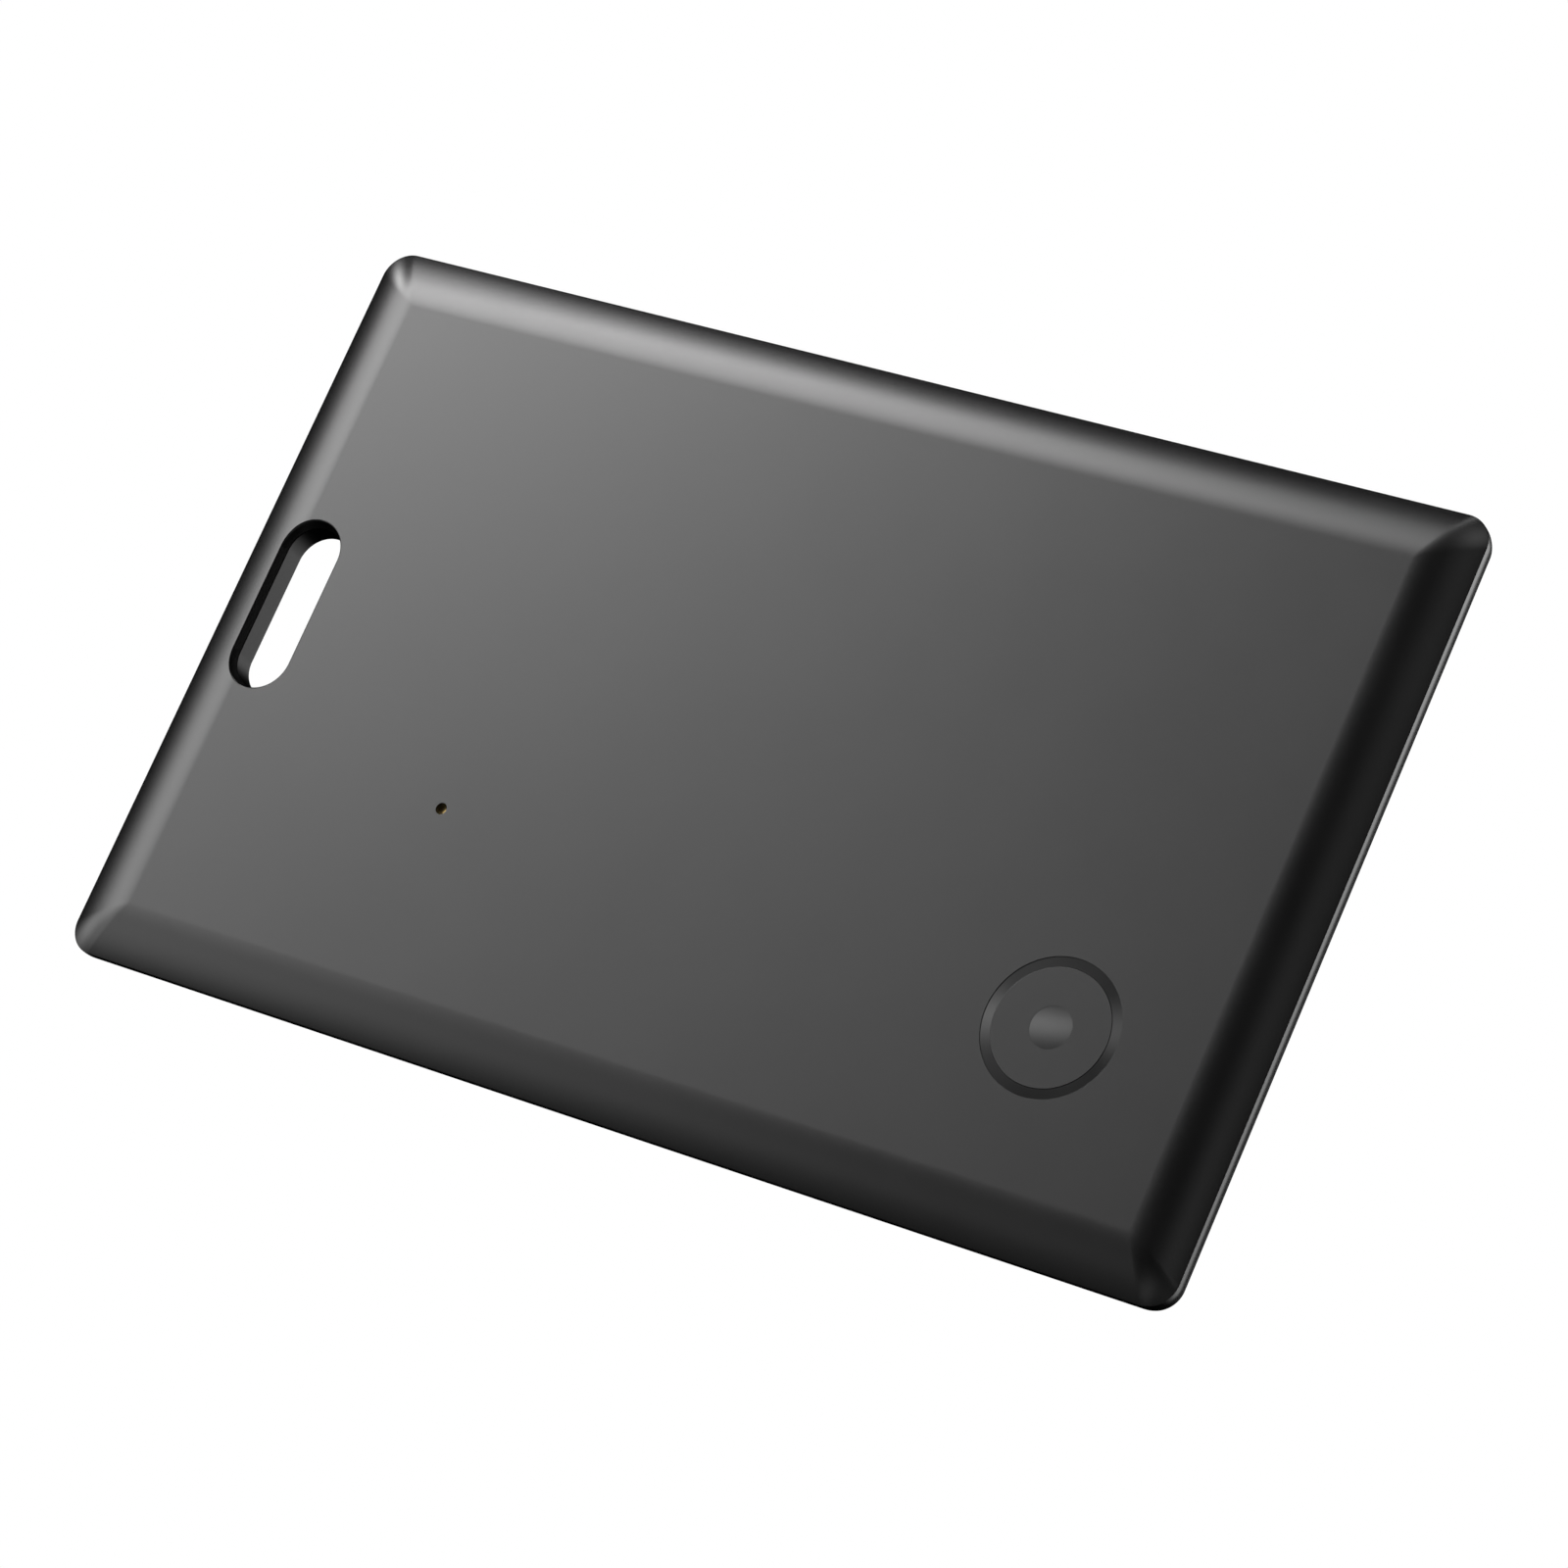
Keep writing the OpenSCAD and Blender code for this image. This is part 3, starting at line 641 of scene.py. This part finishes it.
# ---------------------------------------------------------------- button and switch
def button_cap():
    """The cap on its stem, with small rounds on its edges and the shallow crowned spot in its middle."""
    ball_r = (SPOT_R ** 2 + SPOT_CROWN ** 2) / (2 * SPOT_CROWN)
    spot_top = CARD_T - SPOT_DEPTH + SPOT_CROWN
    span = math.degrees(math.asin(SPOT_R / ball_r))
    e = EDGE_R
    runs = [
        line((0, STEM_TIP_Z), (STEM_R - e, STEM_TIP_Z)),
        arc((STEM_R - e, STEM_TIP_Z + e), e, -90, 0, ROUND_STEPS),
        line((STEM_R, STEM_TIP_Z + e), (STEM_R, CAP_Z)),
        line((STEM_R, CAP_Z), (CAP_R - e, CAP_Z)),
        arc((CAP_R - e, CAP_Z + e), e, -90, 0, ROUND_STEPS),
        line((CAP_R, CAP_Z + e), (CAP_R, CARD_T - CAP_EDGE_R)),
        arc((CAP_R - CAP_EDGE_R, CARD_T - CAP_EDGE_R), CAP_EDGE_R, 0, 90, ROUND_STEPS),
        line((CAP_R - CAP_EDGE_R, CARD_T), (SPOT_R, CARD_T)),
        line((SPOT_R, CARD_T), (SPOT_R, CARD_T - SPOT_DEPTH)),
        arc((0, spot_top - ball_r), ball_r, 90 - span, 90, SPOT_STEPS),
    ]
    plain = [0] * (len(runs) - 1)
    return lathe("button_cap_turned", BUTTON, runs, plain + [1])


def button_seal():
    """The ring under the cap. Its polished top is the groove's floor, which falls a little outwards."""
    hole = STEM_R + STEM_GAP
    inner = CAP_R + CAP_GAP
    low = GROOVE_Z - GROOVE_FALL
    runs = [
        line((hole, LEDGE_Z), (RECESS_R, LEDGE_Z)),
        line((RECESS_R, LEDGE_Z), (RECESS_R, low)),
        line((RECESS_R, low), (inner, GROOVE_Z)),
        line((inner, GROOVE_Z), (inner, CAP_Z)),
        line((inner, CAP_Z), (hole, CAP_Z)),
        line((hole, CAP_Z), (hole, LEDGE_Z)),
    ]
    return lathe("button_seal_turned", BUTTON, runs, [0, 0, 1, 0, 0, 0])


# The snap dome is a shallow cap of a ball
DOME_BALL_R = (DOME_R ** 2 + DOME_H ** 2) / (2 * DOME_H)
DOME_HUB_Z = PAD_Z + DOME_H - DOME_BALL_R


def ball_span(radius, height):
    """Angle from the ball's top, in degrees, at which it comes down to a height."""
    return math.degrees(math.acos((height - DOME_HUB_Z) / radius))


def ball_reach(radius, height):
    """How far from the axis it lies at that height."""
    return math.sqrt(radius ** 2 - (height - DOME_HUB_Z) ** 2)


def metal_dome():
    """The dome's thin shell, which stands on the board on its rim."""
    hub = (0, DOME_HUB_Z)
    inner = DOME_BALL_R - DOME_T
    runs = [
        arc(hub, inner, 90, 90 - ball_span(inner, PAD_Z), DOME_STEPS, hollow=True),
        line((ball_reach(inner, PAD_Z), PAD_Z), (DOME_R, PAD_Z)),
        arc(hub, DOME_BALL_R, 90 - ball_span(DOME_BALL_R, PAD_Z), 90, DOME_STEPS),
    ]
    return lathe("metal_dome_turned", BUTTON, runs)


def dome_tape():
    """The tape that lies over the dome and sticks to the board round it."""
    hub = (0, DOME_HUB_Z)
    outer = DOME_BALL_R + DOME_TAPE_T
    skirt = PAD_Z + DOME_TAPE_T
    runs = [
        arc(hub, DOME_BALL_R, 90, 90 - ball_span(DOME_BALL_R, PAD_Z), DOME_STEPS, hollow=True),
        line((DOME_R, PAD_Z), (DOME_TAPE_R, PAD_Z)),
        line((DOME_TAPE_R, PAD_Z), (DOME_TAPE_R, skirt)),
        line((DOME_TAPE_R, skirt), (ball_reach(outer, skirt), skirt)),
        arc(hub, outer, 90 - ball_span(outer, skirt), 90, DOME_STEPS),
    ]
    return lathe("dome_tape_turned", BUTTON, runs)


# ---------------------------------------------------------------- materials
def link(tree, value, socket):
    """Feeds a socket from another socket, or sets it to a plain value."""
    if isinstance(value, bpy.types.NodeSocket):
        tree.links.new(value, socket)
    else:
        socket.default_value = value


def maths(tree, operation, *values):
    node = tree.nodes.new("ShaderNodeMath")
    node.operation = operation
    for value, socket in zip(values, node.inputs):
        link(tree, value, socket)
    return node.outputs[0]


def dot(tree, first, second):
    node = tree.nodes.new("ShaderNodeVectorMath")
    node.operation = "DOT_PRODUCT"
    link(tree, first, node.inputs[0])
    link(tree, second, node.inputs[1])
    return node.outputs["Value"]


def spread(tree, value, low, high, start=0.35, end=0.65):
    """Maps a noise's usual span to a range."""
    node = tree.nodes.new("ShaderNodeMapRange")
    node.inputs["From Min"].default_value = start
    node.inputs["From Max"].default_value = end
    node.inputs["To Min"].default_value = low
    node.inputs["To Max"].default_value = high
    tree.links.new(value, node.inputs["Value"])
    return node.outputs["Result"]


def stretched(tree, place, stretch):
    node = tree.nodes.new("ShaderNodeVectorMath")
    node.operation = "MULTIPLY"
    tree.links.new(place, node.inputs[0])
    node.inputs[1].default_value = stretch
    return node.outputs["Vector"]


def noise(tree, place, grain, detail=2.0):
    """Noise whose bumps are about as wide as the grain, in millimetres."""
    node = tree.nodes.new("ShaderNodeTexNoise")
    node.inputs["Scale"].default_value = 1 / (grain * MM)
    node.inputs["Detail"].default_value = detail
    tree.links.new(place, node.inputs["Vector"])
    return node.outputs["Fac"]


def weave(tree, place, pitch):
    """Crossed threads, as in glass cloth: high where a warp thread or a weft thread lies on top."""
    split = tree.nodes.new("ShaderNodeSeparateXYZ")
    tree.links.new(place, split.inputs[0])
    turns = 2 * math.pi / (pitch * MM)
    warp, weft = (
        maths(tree, "SINE", maths(tree, "MULTIPLY", split.outputs[axis], turns)) for axis in ("X", "Y")
    )
    crossed = maths(tree, "MULTIPLY", warp, maths(tree, "MULTIPLY", weft, 0.5))
    return maths(tree, "ADD", crossed, 0.5)


def mix_colours(tree, share, first, second):
    """The first colour, or the second where the share is 1. Each is three numbers or a socket."""
    node = tree.nodes.new("ShaderNodeMix")
    node.data_type = "RGBA"
    link(tree, share, node.inputs["Factor"])
    for value, socket in ((first, node.inputs["A"]), (second, node.inputs["B"])):
        link(tree, (*value, 1) if isinstance(value, tuple) else value, socket)
    return node.outputs["Result"]


def bump(tree, height, depth, below=None):
    """A normal tilted by a height whose full swing is the depth, in millimetres."""
    node = tree.nodes.new("ShaderNodeBump")
    node.inputs["Strength"].default_value = 1.0
    node.inputs["Distance"].default_value = depth * MM
    tree.links.new(height, node.inputs["Height"])
    if below:
        tree.links.new(below, node.inputs["Normal"])
    return node.outputs["Normal"]


def worn_edges(tree, radius, patches):
    """1 along convex and concave edges and 0 on open faces, broken up by patches."""
    rounded = tree.nodes.new("ShaderNodeBevel")
    rounded.samples = WEAR_SAMPLES
    rounded.inputs["Radius"].default_value = radius * MM
    true = tree.nodes.new("ShaderNodeNewGeometry").outputs["Normal"]
    bend = maths(tree, "SUBTRACT", 1, dot(tree, rounded.outputs[0], true))
    edge = spread(tree, bend, 0, 1, WEAR_START, WEAR_FULL)
    return maths(tree, "MULTIPLY", edge, spread(tree, patches, WEAR_LEAST, 1))


def finish(
    name, dark, light, rough, grain, depth,
    patch=3.0, swing=0.04, metal=0.0, specular=0.5, wear=0.15, stretch=(1, 1, 1), cloth=0.0,
):
    """A surface whose colour wanders between two shades, with a fine grain in its height, its colour and
    its roughness, and edges that handling has made lighter and smoother. The grain, its depth, the size
    of the patches and the pitch of the cloth beneath are in millimetres. Each colour is linear."""
    made = bpy.data.materials.new(name)
    made.use_nodes = True
    tree = made.node_tree
    shader = tree.nodes["Principled BSDF"]
    place = tree.nodes.new("ShaderNodeTexCoord").outputs["Object"]
    fine = noise(tree, stretched(tree, place, stretch), grain)
    coarse = noise(tree, place, patch, detail=4.0)
    both = maths(tree, "ADD", spread(tree, fine, 0, GRAIN_SHARE), spread(tree, coarse, 0, 1 - GRAIN_SHARE))
    edges = worn_edges(tree, WEAR_R, coarse)
    rubbed = tuple(shade + (1 - shade) * wear * WEAR_LIGHT for shade in light)
    base = mix_colours(tree, both, dark, light)
    link(tree, mix_colours(tree, edges, base, rubbed), shader.inputs["Base Color"])
    drift = spread(tree, coarse, -PATCH_SHARE * swing, PATCH_SHARE * swing)
    gloss = maths(tree, "ADD", spread(tree, fine, rough - swing, rough + swing), drift)
    polish = maths(tree, "MULTIPLY", edges, -wear * rough)
    link(tree, maths(tree, "ADD", gloss, polish), shader.inputs["Roughness"])
    relief = bump(tree, fine, depth)
    if cloth:
        relief = bump(tree, weave(tree, place, cloth), depth, relief)
    link(tree, relief, shader.inputs["Normal"])
    shader.inputs["Metallic"].default_value = metal
    shader.inputs["Specular IOR Level"].default_value = specular
    return made


def looks():
    """One finish for each material slot of the record."""
    metal = {"metal": 1.0}
    brushed = {"metal": 1.0, "stretch": (0.08, 1, 1)}
    made = {}

    def add(slot, *values, **extras):
        made[slot] = finish(slot + "_look", *values, **extras)

    # housing: one black plastic with a fine spark-eroded grain, a little duller on the back cover
    spark = {"swing": 0.012, "wear": 0.06, "patch": 6.0}
    add("cover_plastic", *BLACK, 0.25, 0.09, 0.0012, **spark)
    add("back_plastic", *BLACK, 0.3, 0.09, 0.0014, specular=0.1, **spark)
    add("cap_plastic", *BLACK, 0.25, 0.09, 0.0012, **spark)
    # seals, foam and adhesive film
    add("seal_rubber", (0.004, 0.004, 0.004), (0.007, 0.007, 0.007), 0.4, 0.06, 0.002)
    add("gasket_film", (0.012, 0.012, 0.012), (0.024, 0.024, 0.024), 0.75, 0.08, 0.01)
    add("foam_black", (0.014, 0.014, 0.014), (0.034, 0.034, 0.034), 0.85, 0.12, 0.03)
    add("transfer_tape", (0.7, 0.66, 0.55), (0.79, 0.76, 0.66), 0.5, 0.2, 0.004)
    # button switch
    add("dome_steel", (0.6, 0.59, 0.56), (0.74, 0.73, 0.7), 0.2, 0.03, 0.0006, **brushed)
    add("polyimide", (0.6, 0.26, 0.03), (0.76, 0.4, 0.07), 0.28, 0.25, 0.002)
    add("gold_pad", (0.83, 0.58, 0.2), (0.94, 0.7, 0.3), 0.25, 0.05, 0.001, **metal)
    # board
    add("board_laminate", (0.007, 0.06, 0.028), (0.014, 0.1, 0.048), 0.33, 0.08, 0.003, cloth=0.4)
    add("copper_trace", (0.66, 0.32, 0.15), (0.86, 0.5, 0.28), 0.32, 0.04, 0.001, **metal)
    add("solder", (0.62, 0.62, 0.64), (0.8, 0.8, 0.82), 0.28, 0.08, 0.004, **metal)
    add("chip_mould", (0.018, 0.018, 0.019), (0.036, 0.036, 0.037), 0.6, 0.03, 0.003)
    add("crystal_lid", (0.58, 0.57, 0.54), (0.7, 0.69, 0.66), 0.3, 0.04, 0.001, **brushed)
    add("ferrite", (0.075, 0.07, 0.065), (0.13, 0.12, 0.11), 0.65, 0.04, 0.005)
    add("capacitor_body", (0.4, 0.27, 0.15), (0.55, 0.4, 0.25), 0.45, 0.03, 0.002, wear=0.4)
    add("resistor_body", (0.02, 0.02, 0.022), (0.05, 0.05, 0.055), 0.3, 0.03, 0.001, wear=0.4)
    # sounder
    add("brass_plate", (0.68, 0.47, 0.17), (0.82, 0.62, 0.28), 0.3, 0.04, 0.001, **brushed)
    add("piezo_ceramic", (0.72, 0.7, 0.64), (0.86, 0.84, 0.78), 0.5, 0.06, 0.003)
    # battery
    add("pouch_foil", (0.54, 0.55, 0.57), (0.68, 0.69, 0.71), 0.32, 0.7, 0.012, patch=8.0, **metal)
    add("nickel_tab", (0.6, 0.58, 0.53), (0.72, 0.7, 0.65), 0.3, 0.04, 0.001, **brushed)
    add("lead_red", (0.4, 0.009, 0.008), (0.58, 0.025, 0.02), 0.4, 0.15, 0.003)
    add("lead_black", (0.008, 0.008, 0.008), (0.022, 0.022, 0.022), 0.4, 0.15, 0.003)
    # polished parts of the button: the groove's floor and the spot in the cap
    for slot in ("groove", "spot"):
        add(slot, *POLISHED_BLACK, 0.05, 0.3, 0.00003, swing=0.005, wear=0.0)
    return made


def paint(body, *materials):
    """Fills the body's material slots, and leaves every face in the slot it was in."""
    places = [face.material_index for face in body.data.polygons]
    body.data.materials.clear()
    for material in materials:
        body.data.materials.append(material)
    body.data.polygons.foreach_set("material_index", places)


LOOKS = looks()

# ---------------------------------------------------------------- pieces that stand for CAD nodes
# what makes each piece, the body it rides on, and its finishes, of which the first is its slot
PIECES = {
    "front_cover": (front_cover, "card", ["cover_plastic"]),
    "back_cover": (back_cover, "card", ["back_plastic"]),
    "button_cap": (button_cap, "button", ["cap_plastic", "spot"]),
    "button_seal": (button_seal, "card", ["seal_rubber", "groove"]),
    "metal_dome": (metal_dome, "card", ["dome_steel"]),
    "dome_tape": (dome_tape, "card", ["polyimide"]),
}
# the height that each soft piece flattens towards, and the share of its height that it keeps
SQUASHED = {
    "button_seal": (LEDGE_Z, SEAL_KEEP),
    "metal_dome": (PAD_Z, DOME_KEEP),
    "dome_tape": (PAD_Z, DOME_KEEP),
}


def place_pieces():
    """Builds each piece in the place of its node. The soft ones get a mesh of their own."""
    for node, (build, body, slots) in PIECES.items():
        piece = build()
        piece.name = node + "_finished"
        paint(piece, *(LOOKS[slot] for slot in slots))
        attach(piece, body)
        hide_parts(node)
        if node in SQUASHED:
            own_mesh(piece)


def finish_nodes():
    """The CAD nodes that stay get the looks of their own slots."""
    for node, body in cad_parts.items():
        if node not in PIECES:
            paint(body, *(LOOKS[material.name] for material in list(body.data.materials)))


# ---------------------------------------------------------------- camera, lights and floor
def sight(azimuth, elevation):
    """Unit vector from the object towards a place, on the frame's own angles in degrees."""
    a, e = math.radians(azimuth), math.radians(elevation)
    return Vector((math.sin(a) * math.cos(e), -math.cos(a) * math.cos(e), math.sin(e)))


def rolled(azimuth, elevation, roll):
    """Two directions square to the line of sight: the level one, turned by roll, and the one across it."""
    a, r = math.radians(azimuth), math.radians(roll)
    back = sight(azimuth, elevation)
    level = Vector((math.cos(a), math.sin(a), 0))
    side = level * math.cos(r) + back.cross(level) * math.sin(r)
    return side, back.cross(side)


def add_camera():
    """The camera stands where the photograph was taken from, and looks the same way."""
    back = sight(CAMERA_AZIMUTH, CAMERA_ELEVATION)
    right, up = rolled(CAMERA_AZIMUTH, CAMERA_ELEVATION, CAMERA_ROLL)
    data = bpy.data.cameras.new("camera")
    data.lens = CAMERA_LENS
    camera = new_object("camera", data)
    turn = Matrix((right, up, back)).transposed().to_4x4()
    camera.matrix_world = Matrix.Translation(Vector(CAMERA_PLACE) * MM) @ turn
    bpy.context.scene.camera = camera


def soft_light(tree, ray, azimuth, elevation, width, height, roll, strength):
    """Radiance of a soft lamp far away, which fades from its middle as a bell curve does."""
    side, across = rolled(azimuth, elevation, roll)
    reach = [
        maths(tree, "MULTIPLY", dot(tree, ray, axis), 1 / math.radians(size))
        for axis, size in ((side, width), (across, height))
    ]
    square = maths(tree, "ADD", *(maths(tree, "MULTIPLY", r, r) for r in reach))
    bell = maths(tree, "EXPONENT", maths(tree, "MULTIPLY", square, -0.5))
    ahead = maths(tree, "GREATER_THAN", dot(tree, ray, sight(azimuth, elevation)), 0)
    return maths(tree, "MULTIPLY", maths(tree, "MULTIPLY", bell, strength), ahead)


def add_world():
    """White to the camera. Everything else sees a dark studio with soft lamps."""
    world = bpy.data.worlds.new("studio")
    bpy.context.scene.world = world
    world.use_nodes = True
    tree = world.node_tree
    lit = tree.nodes["Background"]
    ray = tree.nodes.new("ShaderNodeTexCoord").outputs["Generated"]
    total = None
    for lamp in SOFT_LIGHTS:
        one = soft_light(tree, ray, *lamp)
        total = maths(tree, "ADD", one, total) if total else one
    link(tree, maths(tree, "ADD", total, AMBIENT), lit.inputs["Strength"])
    seen = tree.nodes.new("ShaderNodeBackground")
    pick = tree.nodes.new("ShaderNodeMixShader")
    link(tree, tree.nodes.new("ShaderNodeLightPath").outputs["Is Camera Ray"], pick.inputs[0])
    link(tree, lit.outputs[0], pick.inputs[1])
    link(tree, seen.outputs[0], pick.inputs[2])
    link(tree, pick.outputs[0], tree.nodes["World Output"].inputs["Surface"])
    for background in (lit, seen):
        background.inputs["Color"].default_value = (1, 1, 1, 1)
    seen.inputs["Strength"].default_value = 1.0


def add_floor():
    """A white sheet that only the camera sees, and only from above."""
    half = FLOOR_HALF * MM
    mesh = bpy.data.meshes.new("floor")
    corners = [(-half, -half, 0), (half, -half, 0), (half, half, 0), (-half, half, 0)]
    mesh.from_pydata(corners, [], [(0, 1, 2, 3)])
    floor = new_object("floor", mesh)
    floor.visible_diffuse = False
    floor.visible_glossy = False
    floor.visible_transmission = False
    floor.visible_shadow = False
    paper = bpy.data.materials.new("floor_paper")
    paper.use_nodes = True
    tree = paper.node_tree
    glow = tree.nodes.new("ShaderNodeEmission")
    clear = tree.nodes.new("ShaderNodeBsdfTransparent")
    pick = tree.nodes.new("ShaderNodeMixShader")
    link(tree, tree.nodes.new("ShaderNodeNewGeometry").outputs["Backfacing"], pick.inputs[0])
    link(tree, glow.outputs[0], pick.inputs[1])
    link(tree, clear.outputs[0], pick.inputs[2])
    link(tree, pick.outputs[0], tree.nodes["Material Output"].inputs["Surface"])
    paint(floor, paper)


place_pieces()
finish_nodes()
add_camera()
add_world()
add_floor()
bpy.context.scene.view_settings.view_transform = "Standard"
